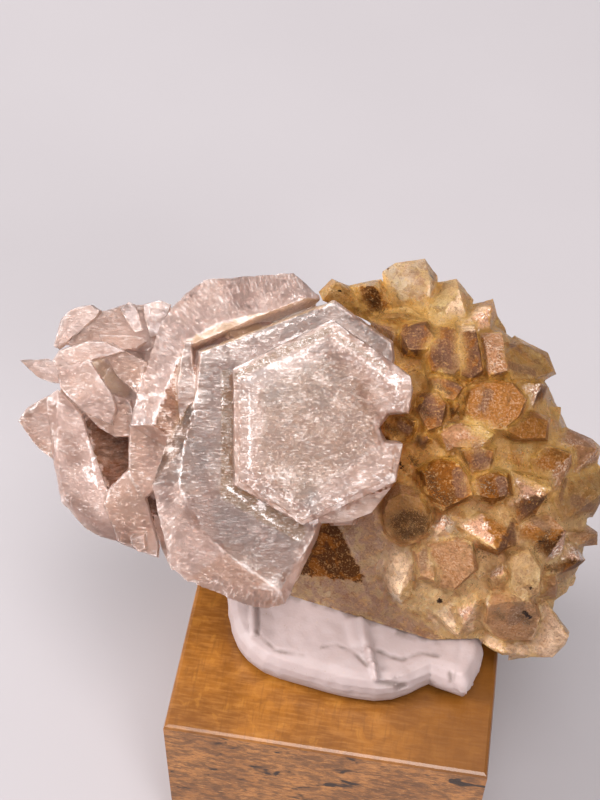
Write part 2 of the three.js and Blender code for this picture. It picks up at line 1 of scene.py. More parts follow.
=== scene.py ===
import math
import bmesh
import bpy
import numpy as np
from mathutils import Matrix, Vector, noise
from mathutils.bvhtree import BVHTree
from mathutils.kdtree import KDTree


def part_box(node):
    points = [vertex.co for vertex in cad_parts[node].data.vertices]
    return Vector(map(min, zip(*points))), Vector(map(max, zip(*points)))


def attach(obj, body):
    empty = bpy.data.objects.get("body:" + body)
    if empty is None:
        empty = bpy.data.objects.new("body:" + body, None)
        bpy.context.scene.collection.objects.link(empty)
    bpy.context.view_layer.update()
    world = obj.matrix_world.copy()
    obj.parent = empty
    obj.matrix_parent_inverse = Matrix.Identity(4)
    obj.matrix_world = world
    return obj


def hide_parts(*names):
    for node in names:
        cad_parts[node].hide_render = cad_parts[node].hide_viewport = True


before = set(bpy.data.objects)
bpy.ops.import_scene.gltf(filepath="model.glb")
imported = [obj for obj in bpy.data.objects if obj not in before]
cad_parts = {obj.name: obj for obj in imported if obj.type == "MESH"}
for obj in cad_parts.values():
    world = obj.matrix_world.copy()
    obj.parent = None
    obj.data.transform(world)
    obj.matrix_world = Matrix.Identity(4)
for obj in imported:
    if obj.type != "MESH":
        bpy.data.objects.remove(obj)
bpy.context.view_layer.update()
mm = 0.001

# The specimen is worked on in millimetres on the front plate: x to the right, y up, z out of the plate.
view = {
    "wide": 600,             # the picture, pixels
    "high": 800,
    "centre": (-8.7, 13.8, 55.1),  # the middle of the front plate, mm
    "swing": 8.04,           # degrees to the side
    "drop": 50.9,            # degrees looking down
    "roll": 1.33,            # degrees about the line of sight
    "away": 185,             # mm from the plate to the lens
    "lens": 67.5,            # mm
    "sensor": 36,            # mm, the picture's long side
}
turn = (Matrix.Rotation(math.radians(view["swing"]), 3, "Z")
        @ Matrix.Rotation(math.radians(90 - view["drop"]), 3, "X")
        @ Matrix.Rotation(math.radians(view["roll"]), 3, "Z"))
rowFromFace = Matrix.Scale(mm, 4) @ Matrix.Translation(view["centre"]) @ turn.to_4x4()
faceFromRow = rowFromFace.inverted()
faceOut = turn.col[2]
pixelFocal = view["lens"] / view["sensor"] * view["high"]


def addObject(name, data):
    made = bpy.data.objects.new(name, data)
    bpy.context.scene.collection.objects.link(made)
    return made


def addSolid(name, solid):
    mesh = bpy.data.meshes.new(name)
    solid.to_mesh(mesh)
    return addObject(name, mesh)


def makeCamera():
    camera = addObject("camera", bpy.data.cameras.new("camera"))
    place = turn.to_4x4()
    place.translation = (Vector(view["centre"]) + faceOut * view["away"]) * mm
    camera.matrix_world = place
    camera.data.lens = view["lens"]
    camera.data.sensor_width = view["sensor"]
    camera.data.clip_start = 0.01
    bpy.context.scene.camera = camera


makeCamera()
print("camera: %.0f mm lens, %.0f mm away" % (view["lens"], view["away"]))


def lineOfSight(px, py):  # from the lens through a pixel, in the camera's own directions
    return Vector(((px - view["wide"] / 2) / pixelFocal, (view["high"] / 2 - py) / pixelFocal, -1))


def seen(colour):  # a colour as a picture shows it, 0 to 255, on the renderer's own scale
    return tuple(((v / 255 + 0.055) / 1.055) ** 2.4 if v > 10 else v / 255 / 12.92 for v in colour)


def along(value, start, end):  # 0 before the start, 1 past the end
    return share((value - start) / (end - start))


def share(value):  # kept between 0 and 1
    return min(1, max(0, value))


class Wire:  # a socket that can be added, multiplied and eased
    def __init__(self, paint, socket):
        self.paint = paint
        self.socket = socket

    def result(self, operation, *values):
        return self.paint.node("ShaderNodeMath", {"operation": operation}, dict(enumerate(values)))

    def __add__(self, other):
        return self.result("ADD", self, other)

    def __sub__(self, other):
        return self.result("SUBTRACT", self, other)

    def __rsub__(self, other):
        return self.result("SUBTRACT", other, self)

    def __mul__(self, other):
        return self.result("MULTIPLY", self, other)

    __radd__ = __add__
    __rmul__ = __mul__

    def ease(self, low, high):  # eases from 0 at low to 1 at high
        return self.paint.node("ShaderNodeMapRange", {"interpolation_type": "SMOOTHSTEP"}, {
            "Value": self, "From Min": low, "From Max": high})

    def least(self, other):
        return self.result("MINIMUM", self, other)

    def most(self, other):
        return self.result("MAXIMUM", self, other)


class Paint:  # makes all the nodes of a material, or of the world
    def __init__(self, owner):
        self.owner = owner
        owner.use_nodes = True
        self.tree = owner.node_tree
        self.tree.nodes.clear()

    def node(self, kind, settings={}, values={}, out=0):
        made = self.tree.nodes.new(kind)
        for name, value in settings.items():
            setattr(made, name, value)
        for place, value in values.items():
            socket = made.inputs[place]
            if isinstance(value, Wire):
                self.tree.links.new(value.socket, socket)
            elif socket.type == "RGBA" and len(value) == 3:  # a picture's colour
                socket.default_value = (*seen(value), 1)
            else:
                socket.default_value = value
        return Wire(self, made.outputs[out]) if made.outputs else made

    def blend(self, amount, first, second):
        return self.node("ShaderNodeMix", {"data_type": "RGBA"}, {0: amount, 6: first, 7: second}, out=2)

    def coats(self, tint, layers):  # each coat over the last: how much of it, and its colour
        for amount, colour in layers:
            tint = self.blend(amount, tint, colour)
        return tint

    def vector(self, operation, *values, out=0, **named):
        named.update(enumerate(values))
        return self.node("ShaderNodeVectorMath", {"operation": operation}, named, out)

    def part(self, vector, axis):  # one of x, y and z: 0, 1 or 2
        return self.node("ShaderNodeSeparateXYZ", {}, {0: vector}, axis)

    def stretch(self, vector, amounts):
        return self.vector("MULTIPLY", vector, amounts)

    def grain(self, vector, scale, detail=2, rough=0.5, twist=0):
        return self.node("ShaderNodeTexNoise", {}, {
            "Vector": vector, "Scale": scale, "Detail": detail, "Roughness": rough, "Distortion": twist})

    def cells(self, vector, scale, out=0):  # out 0 is the distance to a cell's middle, 1 the cell's colour
        return self.node("ShaderNodeTexVoronoi", {}, {"Vector": vector, "Scale": scale}, out)

    def stored(self, name, out=2):  # what the mesh holds at each point: 2 is a number, 0 a colour
        return self.node("ShaderNodeAttribute", {"attribute_name": name}, out=out)

    def inRowMillimetres(self):
        return self.stretch(self.node("ShaderNodeTexCoord", out=3), (1 / mm,) * 3)

    def inFaceMillimetres(self):
        return self.node("ShaderNodeMapping", {"vector_type": "TEXTURE"}, {
            "Vector": self.node("ShaderNodeTexCoord", out=3), "Location": rowFromFace.translation,
            "Rotation": turn.to_euler(), "Scale": (mm,) * 3})

    def normal(self):
        return self.node("ShaderNodeNewGeometry", out=1)

    def shimmer(self, normal, place, scale, amount):  # small facets, each tilted its own way
        tilt = self.vector("SUBTRACT", self.cells(place, scale, out=1), (0.5, 0.5, 0.5))
        return self.vector("NORMALIZE", self.vector("ADD", normal, self.vector("SCALE", tilt, Scale=amount)))

    def bump(self, height, depth, strength=1.0, **over):
        return self.node("ShaderNodeBump", {}, {
            "Height": height, "Distance": depth * mm, "Strength": strength, **over})

    def finish(self, surface, **inside):
        self.node("ShaderNodeOutputMaterial", {}, {"Surface": surface, **inside})
        return self.owner

    def shader(self, tint, rough, values, **settings):
        values.update({"Base Color": tint, "Roughness": rough})
        return self.node("ShaderNodeBsdfPrincipled", settings, values)

    def crystal(self, amount, clear, coat, piece):  # what is clear absorbs light, and is coated by an amount
        depth = self.node("ShaderNodeVolumeAbsorption", {}, {
            "Color": piece["depthColour"], "Density": piece["depth"]})
        surface = self.node("ShaderNodeMixShader", {}, {0: amount, 1: clear, 2: coat})
        return self.finish(surface, Volume=depth)


# From the plain solids to dense meshes that know where their creases and facets are.
def solidOf(node, space, join=0.002):
    solid = bmesh.new()
    solid.from_mesh(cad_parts[node].data)
    bmesh.ops.transform(solid, matrix=space, verts=solid.verts)
    bmesh.ops.remove_doubles(solid, verts=solid.verts, dist=join)
    solid.faces.ensure_lookup_table()
    solid.normal_update()
    return solid


def facetNumbers(solid, bend=3):  # faces that lie in one plane get one number
    numbers = [-1] * len(solid.faces)
    count = 0
    for start in solid.faces:
        if numbers[start.index] >= 0:
            continue
        numbers[start.index] = count
        waiting = [start]
        while waiting:
            here = waiting.pop()
            for edge in here.edges:
                for there in edge.link_faces:
                    if numbers[there.index] < 0 and here.normal.angle(there.normal, 0) < math.radians(bend):
                        numbers[there.index] = count
                        waiting.append(there)
        count += 1
    return numbers


def nearTree(points):  # finds the nearest of some points
    tree = KDTree(len(points))
    for i, point in enumerate(points):
        tree.insert(point, i)
    tree.balance()
    return tree


def creaseTrees(solid, bend=14, step=0.2):  # points along the outward and the inward creases
    found = {"ridge": [], "valley": []}
    for edge in solid.edges:
        if len(edge.link_faces) != 2:
            continue
        angle = edge.calc_face_angle_signed(0)
        if abs(angle) < math.radians(bend):
            continue
        first, last = (v.co for v in edge.verts)
        count = max(2, int((last - first).length / step) + 1)
        found["ridge" if angle > 0 else "valley"] += [first.lerp(last, i / (count - 1)) for i in range(count)]
    return {kind: nearTree(points) for kind, points in found.items()}


def densePiece(name, solid, cell, extras=()):
    piece = addSolid(name, solid)
    for extra in extras:
        union = piece.modifiers.new("extra", "BOOLEAN")
        union.operation = "UNION"
        union.solver = "MANIFOLD"
        union.object = extra
    bpy.context.view_layer.update()
    remesh = piece.modifiers.new("cells", "REMESH")
    remesh.mode = "SHARP"
    remesh.octree_depth = 8
    remesh.scale = min(0.99, max(piece.dimensions) / (2 ** remesh.octree_depth * cell))
    remesh.sharpness = 1.0
    remesh.use_remove_disconnected = False
    dense = bpy.data.meshes.new_from_object(piece.evaluated_get(bpy.context.evaluated_depsgraph_get()))
    piece.modifiers.clear()
    piece.data = dense
    for extra in extras:
        bpy.data.objects.remove(extra)
    triangles = sum(len(polygon.vertices) - 2 for polygon in dense.polygons)
    print("%s: %d points, %d triangles" % (name, len(dense.vertices), triangles))
    return piece


def vectorsOf(items, key):  # three numbers for each item
    flat = np.empty(len(items) * 3, np.float32)
    items.foreach_get(key, flat)
    return flat.reshape(-1, 3)


def easedPoints(mesh, points, pull, rounds):  # draws each point towards its neighbours, by its own pull
    ends = np.empty(len(mesh.edges) * 2, np.int32)
    mesh.edges.foreach_get("vertices", ends)
    first, last = ends[0::2], ends[1::2]
    count = len(points)
    degree = np.bincount(ends, minlength=count)[:, None]
    for _ in range(rounds):
        total = np.stack([np.bincount(first, points[last, axis], count)
                          + np.bincount(last, points[first, axis], count) for axis in range(3)], axis=1)
        points = points + pull[:, None] * (total / degree - points)
    return points


def eased(values, low, high):  # 0 at low, 1 at high, with a soft start and end
    part = np.clip((values - low) / (high - low), 0, 1)
    return part * part * (3 - 2 * part)


def store(mesh, **layers):
    for name, values in layers.items():
        colour = values.ndim == 2
        layer = mesh.attributes.new(name, "FLOAT_COLOR" if colour else "FLOAT", "POINT")
        layer.data.foreach_set("color" if colour else "value", values.astype(np.float32).ravel())


def sight(tree, px, py):  # what the camera shows at a pixel: the point, the normal and the solid's face
    return tree.ray_cast(Vector((0, 0, view["away"])), lineOfSight(px, py).normalized())


def marksOn(tree, lines):  # points along each line of pixels, each with the line's reach and strength
    marks = []
    for reach, strength, *line in lines:
        for first, last in zip(line, line[1:] or line):
            count = max(1, int(math.dist(first, last)))
            for i in range(count + 1):
                point = sight(tree, *(a + (b - a) * i / count for a, b in zip(first, last)))[0]
                if point is not None:
                    marks.append((point, reach, strength))
    return nearTree([point for point, _, _ in marks]), marks


def markAt(placed, spot):  # how strongly a point is marked, from 0 away from the lines to 1 on them
    near, marks = placed
    _, number, away = near.find(spot)
    _, reach, strength = marks[number]
    return strength * max(0, 1 - away / reach)


def awayFrom(line, spot):  # how far a point is from a line of straight runs
    return min((spot - closest(spot, a, b)).length for a, b in zip(line, line[1:]))


def closest(spot, a, b):
    run = b - a
    return a + run * share((spot - a).dot(run) / run.length_squared)


def looksOfFaces(solid, tree, looks, usual, spreading, bend=8):  # a look for each of the solid's faces
    numbers = facetNumbers(solid)
    look = {}
    for name, values in looks.items():
        for spot in values[-1]:
            face = sight(tree, *spot)[2]
            if face is None:
                print("no facet at", spot)
            else:
                look[numbers[face]] = name
    beside = {}  # a look that spreads is also on the facets across an outward crease
    for edge in solid.edges:
        if len(edge.link_faces) != 2 or edge.calc_face_angle_signed(0) <= math.radians(bend):
            continue
        ends = [numbers[face.index] for face in edge.link_faces]
        for here, there in (ends, ends[::-1]):
            longest = beside.get(there, (0,))[0]
            if look.get(here) in spreading and there not in look and edge.calc_length() > longest:
                beside[there] = edge.calc_length(), look[here]
    look.update((number, found) for number, (_, found) in beside.items())
    area = {}
    for face in solid.faces:
        area[numbers[face.index]] = area.get(numbers[face.index], 0) + face.calc_area()
    return [look.get(number) or usual(number, area[number], face)
            for number, face in zip(numbers, solid.faces)]


def survey(name, node, settings, usual, extras=()):  # the dense piece, and what is known at its points
    solid = solidOf(node, faceFromRow)
    tree = BVHTree.FromBMesh(solid)
    looks = looksOfFaces(solid, tree, settings["looks"], usual, settings["spreading"])
    creases = creaseTrees(solid)
    marks = {kind: marksOn(tree, lines) for kind, lines in settings["marks"].items()}
    piece = densePiece(name, solid, settings["cell"], extras)
    points = vectorsOf(piece.data.vertices, "co")
    layers = {kind: np.zeros(len(points)) for kind in (*creases, *marks)}
    found = []
    for i, point in enumerate(points):
        spot = Vector(point)
        for kind, crease in creases.items():
            layers[kind][i] = crease.find(spot)[2]
        for kind, placed in marks.items():
            layers[kind][i] = markAt(placed, spot)
        stray = noise.noise_vector(spot * settings["spillGrain"]) * settings["spill"]
        found.append(looks[tree.find_nearest(spot + stray)[2]])
    solid.free()
    return piece, points, layers, found


def worn(piece, points, shift):  # each point moved inwards
    return points - vectorsOf(piece.data.vertex_normals, "vector") * shift[:, None]


def settle(piece, points):
    piece.data.vertices.foreach_set("co", points.astype(np.float32).ravel())
    piece.data.update()
    for polygon in piece.data.polygons:
        polygon.use_smooth = True


def settleInBox(piece, points, node, sharp=30):  # back to the row frame, inside the solid's own box
    low, high = (np.array(corner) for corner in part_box(node))
    matrix = np.array(rowFromFace)
    settle(piece, np.clip(points @ matrix[:3, :3].T + matrix[:3, 3], low, high))
    piece.data.set_sharp_from_angle(angle=math.radians(sharp))


def dress(piece, node, material):
    piece.data.materials.clear()
    piece.data.materials.append(material)
    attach(piece, "root")
    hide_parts(node)


def shard(name, outline, low, high, inset):  # a small splinter between two depths on the face
    solid = bmesh.new()
    count = len(outline)
    middle = Vector((sum(x for x, _ in outline) / count, sum(y for _, y in outline) / count, 0))
    rings = []
    for depth, shrink in ((low, 1), (high, 1 - inset)):
        corners = [middle.lerp(Vector((x, y, 0)), shrink) for x, y in outline]
        rings.append([solid.verts.new(corner + Vector((0, 0, depth))) for corner in corners])
    solid.faces.new(rings[0][::-1])
    solid.faces.new(rings[1])
    for i in range(count):
        j = (i + 1) % count
        solid.faces.new((rings[0][i], rings[0][j], rings[1][j], rings[1][i]))
    bmesh.ops.recalc_face_normals(solid, faces=solid.faces)
    piece = addSolid(name, solid)
    solid.free()
    return piece


# The calcite: the plates on the left and in front.
calcite = {
    "cell": 0.3,         # mm between the points of the dense mesh
    "waviness": 0.07,    # mm, how uneven the faces are
    "chips": 0.24,       # mm, how deep the edges are nicked
    "bigChips": 0.5,     # mm, along the broken right side of the front plate
    "stepRounds": 14,    # how often the low steps on the front plate are smoothed
    "frost": 0.55,       # how milky, times each look's own share
    "clearRough": 0.3,
    "coatRough": 0.1,
    "ior": 1.6,
    "depthColour": (224, 180, 154),
    "depth": 85,         # absorption, per metre
    "edgeWhite": (248, 236, 234),
    "clearTint": (250, 238, 230),
    "crumble": 0.5,      # mm, how broken the crumbly white crystals are
    "spill": 0.25,       # mm, how far a look strays over the edge of its facet
    "spillGrain": 1.3,   # and how finely
    "spreading": (),     # looks that are also on the facets beside their own
    "plateLevel": 11.5,  # mm, the front plate's face and low steps are above this
    "stepSpan": (0.5, 1.3),  # mm inside its rim, where their smoothing begins and is whole
    "brokenLevel": 9,    # mm, its edges are above this, and are broken to the right and below
    "brokenRight": 5,
    "brokenBelow": -11,
    "brokenLeft": -2,
    # Each look's colour, how milky rather than clear it is, and picture pixels on its facets.
    "looks": {
        "white": ((208, 188, 184), 0.82, [(139, 415), (132, 317), (155, 315)]),
        # satin: pale bevels and faces, their paleness partly painted light where they face the light
        "satin": ((218, 186, 175), 0.62, [(75, 447), (166, 363), (149, 381), (87, 390), (234, 301),
            (242, 282), (205, 313), (173, 324), (182, 313), (193, 303), (85, 353), (195, 554), (166, 512),
            (181, 525), (74, 323), (42, 369)]),
        "beige": ((204, 163, 143), 0.6, [(124, 341), (112, 328), (152, 433), (143, 456), (128, 369),
            (143, 461), (130, 514), (230, 575), (239, 593), (268, 603), (279, 602)]),
        # blush: darker pinkish brown; at the bottom of the left plates partly painted shade where they lie in
        # shadow
        "blush": ((142, 102, 84), 0.75, [(53, 418), (51, 437), (38, 426), (100, 527), (111, 537), (78, 514)]),
        "mauve": ((110, 80, 64), 0.6, [(215, 412), (186, 380), (171, 472)]),
        "olive": ((196, 162, 122), 1.1, [(103, 367), (117, 384), (289, 310), (221, 328), (228, 332),
            (226, 336), (246, 330), (269, 325), (295, 314)]),
        # brown: faces between the left plates that lie in shadow, their dark brown partly painted shade
        "brown": ((98, 52, 20), 1.7, [(111, 450), (107, 471), (169, 406), (164, 433), (90, 428), (153, 505),
            (155, 513)]),
        # a hole painted nearly black: painted shadow
        "hollow": ((34, 18, 10), 2.2, [(177, 443), (173, 438), (176, 444)]),
        "veil": ((170, 130, 102), 0.58, [(312, 443)]),
    },
    # Marks on the plates: how far each reaches in mm, its strength, and its line of picture pixels.
    "marks": {
        # white, crumbled crystal
        "snow": [(2.6, 1, (372, 505)), (1.8, 0.6, (340, 505)), (2.6, 0.6, (395, 380)), (2.2, 0.4, (255, 352)),
            (1.2, 0.6, (86, 470), (90, 482)), (2, 0.7, (390, 480)), (1.4, 0.7, (262, 505)),
            (2, 0.5, (300, 300)), (1.6, 0.3, (72, 470)), (2.5, 0.5, (140, 400)), (3, 0.4, (215, 585)),
            (0.7, 1, (313, 521), (339, 514), (366, 500), (393, 486)),
            (0.7, 0.6, (203, 352), (240, 341), (307, 317), (331, 304))],
        # bright, ragged lines: white crystal edges, and painted highlights where edges and bevels catch the
        # light
        "lines": [(0.5, 1, (232, 370), (280, 344), (331, 319)),
            (0.4, 0.8, (331, 319), (361, 342), (392, 360)),
            (0.4, 0.7, (238, 381), (262, 374), (294, 358), (326, 346)),
            (0.35, 0.5, (236, 480), (267, 503), (289, 518), (313, 522)),
            (0.4, 0.7, (223, 376), (222, 421), (223, 454), (224, 483)),
            (0.4, 0.8, (228, 488), (267, 518), (302, 542)),
            (0.4, 0.75, (198, 357), (195, 411), (184, 443), (181, 464), (180, 486)),
            (0.4, 0.5, (180, 486), (195, 508), (208, 540)), (0.4, 0.8, (130, 380), (139, 395), (148, 419)),
            (0.45, 0.9, (83, 425), (92, 460), (97, 489)), (0.35, 0.9, (129, 425), (150, 426)),
            (0.5, 0.8, (322, 292), (321, 300), (305, 312)), (0.4, 0.5, (150, 395), (175, 345), (190, 328))],
        # olive-brown along the seams between the plates
        "olive": [(0.9, 1, (227, 376), (227, 483)), (1.35, 1, (229, 491), (297, 531)),
            (0.8, 0.55, (238, 376), (280, 353), (329, 330)), (0.7, 0.3, (336, 335), (386, 368))],
        # clear crystal that looks dark, and at the bottom of the left plates painted shade where they lie in
        # shadow
        "clear": [(2.4, 0.9, (75, 505), (95, 525), (130, 540)), (3.4, 1, (198, 507), (238, 518), (278, 553)),
            (2, 0.6, (200, 460), (206, 490)), (1.8, 0.5, (212, 380), (215, 410)),
            (2.2, 0.5, (160, 480), (170, 500)), (2, 0.9, (68, 440), (74, 458))],
        # fine lines side by side
        "combed": [(2, 1, (210, 365), (206, 454)), (2, 0.6, (255, 535), (290, 550))],
    },
    # The front plate's outline, mm on the face, and how its face leans.
    "outline": [(-7.7, 3.6), (3.8, 9.4), (12.9, 2.8), (13.2, 1.2), (12.7, -0.9), (11.1, -9.5), (0.3, -14.4),
        (-7.5, -9.7), (-7.7, 3.6)],
    "lean": (0.12, 0.08),
    # Splinters at its lower edge: the outline, the two depths, and how much smaller the outer end is.
    "shards": {
        "blade": ([(1.3, -13.4), (1.8, -14.6), (5.4, -14.4), (8.6, -13.2), (11.2, -9.9), (8.0, -11.0)],
                  6.0, 10.6, 0.12),
        "splinter": ([(2.9, -13.2), (3.6, -15.1), (6.6, -15.0), (7.2, -13.4)], 5.0, 8.2, 0.3),
    },
}


def usualCalcite(number, area, face):
    # faces turned up get the paler satin and the rest the darker beige: painted light from above
    return "satin" if face.normal.y > 0.2 else "beige"


def calciteMaterial():
    paint = Paint(bpy.data.materials.new("calcite"))
    place = paint.inFaceMillimetres()
    ridge = paint.stored("ridge")
    valley = paint.stored("valley")
    across = paint.part(place, 0)
    up = paint.part(place, 1)
    facing = paint.vector("DOT_PRODUCT", paint.normal(), faceOut, out="Value")
    tilted = facing.ease(0.96, 0.8)  # the bevels, not the plates' own faces

    clouds = paint.grain(place, 0.3, 2, 0.55)
    drift = paint.grain(paint.stretch(place, (0.8, 1.2, 1)), 0.9, 3, 0.62, 0.5)
    grains = paint.grain(place, 2.6, 3, 0.65)
    dust = paint.grain(place, 5.5, 2, 0.6)

    # fine strokes: across the plates, and down the bevels from the middle of the plates outwards
    strokes = paint.grain(paint.stretch(place, (0.9, 3.4, 2)), 1.5, 2, 0.6)
    angle = up.result("ARCTAN2", up + 3, across - 1)
    rays = paint.node("ShaderNodeCombineXYZ", {}, {0: angle * 58, 1: up * 0.6, 2: across * 0.6})
    stripes = paint.grain(rays, 1.5, 2, 0.6)
    combed = paint.grain(paint.stretch(place, (0.35, 4.4, 1)), 0.8, 1, 0.5)
    fine = strokes * (1 - tilted) + stripes * tilted

    # worm-like growth lines and specks on the plates' faces
    bent = paint.grain(place, 0.9, 2, 0.6, 0.9)
    small = paint.grain(place, 2.1, 1, 0.5, 0.6)
    worms = (((bent - 0.5) * (bent - 0.5)).ease(0.0006, 0.0001) * dust.ease(0.42, 0.55)
             + ((small - 0.5) * (small - 0.5)).ease(0.0008, 0.0001) * drift.ease(0.46, 0.6) * 0.8)
    flecks = paint.cells(place, 1.9).ease(0.2, 0.1) * drift.ease(0.48, 0.56)
    # rim: whiter near the ridges, partly frosted edges and partly painted light shining through the thin
    # edges
    rim = ridge.ease(0.26, 0.06) * (clouds * 0.9 + dust * 0.6).ease(0.66, 0.84)
    lines = (paint.stored("lines") + (dust - 0.5) * 1.4 + (drift - 0.5) * 2).ease(0.62, 0.85)
    snow = (paint.stored("snow") * 1.2 + (grains - 0.5) * 1.6 + (drift - 0.5)).ease(0.3, 0.8)
    olive = (paint.stored("olive") + (drift - 0.5) * 0.5).ease(0.02, 0.35)
    # deep: darker where clear crystal lies deeper, and at the bottom of the left plates painted shade
    deep = (paint.stored("clear") + (drift - 0.5) * 0.9).ease(0.1, 0.7)

    # the front plate: a dusty ring inside its rim, a thin line round a clearer, darker middle
    inner = paint.stored("inner") + (drift - 0.5) * 0.8
    ring = inner.ease(0.2, 0.6) * inner.ease(3.6, 2.2)
    core = inner.ease(2.2, 4.4)
    hexagon = (inner.ease(1.62, 1.78) * inner.ease(2.02, 1.86)
               * (dust * 0.6 + clouds * 0.5).ease(0.5, 0.62))
    comb = paint.stored("combed").ease(0.1, 0.5) * (combed - 0.5)

    # the brown faces and the near-black hole, whose darkness is partly painted shade
    brownInShade = paint.stored("frost").ease(0.7, 0.9)
    # milky grains in clear crystal: the milk is pale, and what lies deeper is darker
    milk = (drift - 0.5) * 0.7 + (clouds - 0.5) * 1.5 + (grains - 0.5) * 0.7 + (fine - 0.5) * 1.1 + comb * 2
    # white: frosted crystal, with the painted highlights of the rim and the bright lines
    white = (rim * 0.4 + worms * (0.2 + core * 0.1 + ring * 0.5) + flecks * 0.5 + lines * 0.7 + snow * 0.7
             + hexagon * 0.7 + fine.ease(0.6, 0.66) * 0.35) * (1 - brownInShade)
    white = white.least(1)
    tint = paint.coats(paint.stored("tint", 0), [
        (clouds.ease(0.35, 0.7) * 0.4, (206, 170, 150)),
        (milk.ease(0.05, 0.5) * 0.45, (250, 236, 232)),
        (milk.ease(0.0, -0.5) * 0.45, (150, 116, 100)),
        (deep * 0.65, (142, 110, 98)),
        (core * clouds.ease(0.62, 0.42) * 0.75, (148, 108, 80)),
        (core * grains.ease(0.48, 0.36) * 0.7, (108, 72, 48)),
        (core * dust.ease(0.56, 0.66) * 0.6, (228, 204, 186)),
        (ring * grains.ease(0.42, 0.6) * 0.5, (212, 182, 168)),
        (olive * 0.9, (114, 82, 50)),
        # darker mottles on those faces, painted shade as well
        (brownInShade * drift.ease(0.54, 0.38) * 0.7, (70, 38, 14)),
        # painted shade: browner in the inward creases
        (valley.ease(0.4, 0.05) * 0.5, (112, 82, 52)),
        (white, calcite["edgeWhite"]),
    ])
    murky = (deep * 0.8 + olive * 0.8 + core * 0.4).least(1)
    clearTint = paint.blend(murky, calcite["clearTint"], (178, 138, 112))

    frost = paint.stored("frost") + milk * 0.35 + white * 0.5 + olive * 0.35 - deep * 0.08 + core * 0.1
    frost = frost.least(0.97).most(0.1)
    height = drift * 0.2 + grains * (0.2 + snow * 0.6 + ring * 0.2) + fine * 0.5 + dust * 0.2
    facets = paint.shimmer(paint.normal(), place, 1.1, 0.04 + snow * 0.2)
    facets = paint.shimmer(facets, place, 2.6, 0.1 + snow * 0.3)
    relief = paint.bump(height, 0.13, 0.65, Normal=facets)
    clear = paint.shader(clearTint, calcite["clearRough"], {
        "IOR": calcite["ior"], "Transmission Weight": 1.0, "Normal": relief})
    satin = paint.shader(tint, 0.16 + drift * 0.25 + brownInShade * 0.4, {
        "IOR": calcite["ior"], "Specular IOR Level": 0.3, "Subsurface Weight": 0.75,
        "Subsurface Radius": (1, 0.8, 0.7), "Subsurface Scale": 0.0025, "Coat Weight": 0.3 - brownInShade * 0.3,
        "Coat Roughness": calcite["coatRough"], "Normal": relief}, subsurface_method="BURLEY")
    return paint.crystal(frost, clear, satin, calcite)


def makeCalcite():
    extras = [shard(name, *values) for name, values in calcite["shards"].items()]
    piece, points, layers, looks = survey("calcite", "calcite_cluster", calcite, usualCalcite, extras)
    ridge, valley = layers["ridge"], layers["valley"]
    frost, step, inner, shift = (np.zeros(len(points)) for _ in range(4))
    tint = np.ones((len(points), 4))
    outline = [Vector(corner) for corner in calcite["outline"]]
    for i, (x, y, z) in enumerate(points):
        spot = Vector(points[i])
        colour, milky, _ = calcite["looks"][looks[i]]
        tint[i, :3] = seen(colour)
        frost[i] = milky * calcite["frost"]
        if z + calcite["lean"][0] * x + calcite["lean"][1] * y > calcite["plateLevel"]:
            inner[i] = awayFrom(outline, spot.to_2d())
            ridge[i] = max(ridge[i], inner[i])
            valley[i] = max(valley[i], inner[i])
            step[i] = eased(inner[i], *calcite["stepSpan"])
        broken = z > calcite["brokenLevel"] and (
            x > calcite["brokenRight"] or y < calcite["brokenBelow"] and x > calcite["brokenLeft"])
        nick = max(0, noise.noise(spot * 1.1 + Vector((7, 3, 1))) + 0.1)
        nick += max(0, noise.noise(spot * 2.1)) * 0.6
        nick *= max(0, 1 - ridge[i] / 0.8) * calcite["bigChips" if broken else "chips"]
        shift[i] = calcite["waviness"] * (0.5 + noise.noise(spot * 0.55)) + nick
        if looks[i] == "white":
            shift[i] += calcite["crumble"] * (abs(noise.noise(spot * 0.9)) + 0.4 * noise.noise(spot * 2))
    points = worn(piece, points, shift)
    points = easedPoints(piece.data, points, 0.5 * (1 - eased(ridge, 0.1, 0.4)), 1)
    points = easedPoints(piece.data, points, 0.7 * step, calcite["stepRounds"])
    store(piece.data, frost=frost, inner=inner, tint=tint, **layers)
    settleInBox(piece, points, "calcite_cluster")
    dress(piece, "calcite_cluster", calciteMaterial())


makeCalcite()


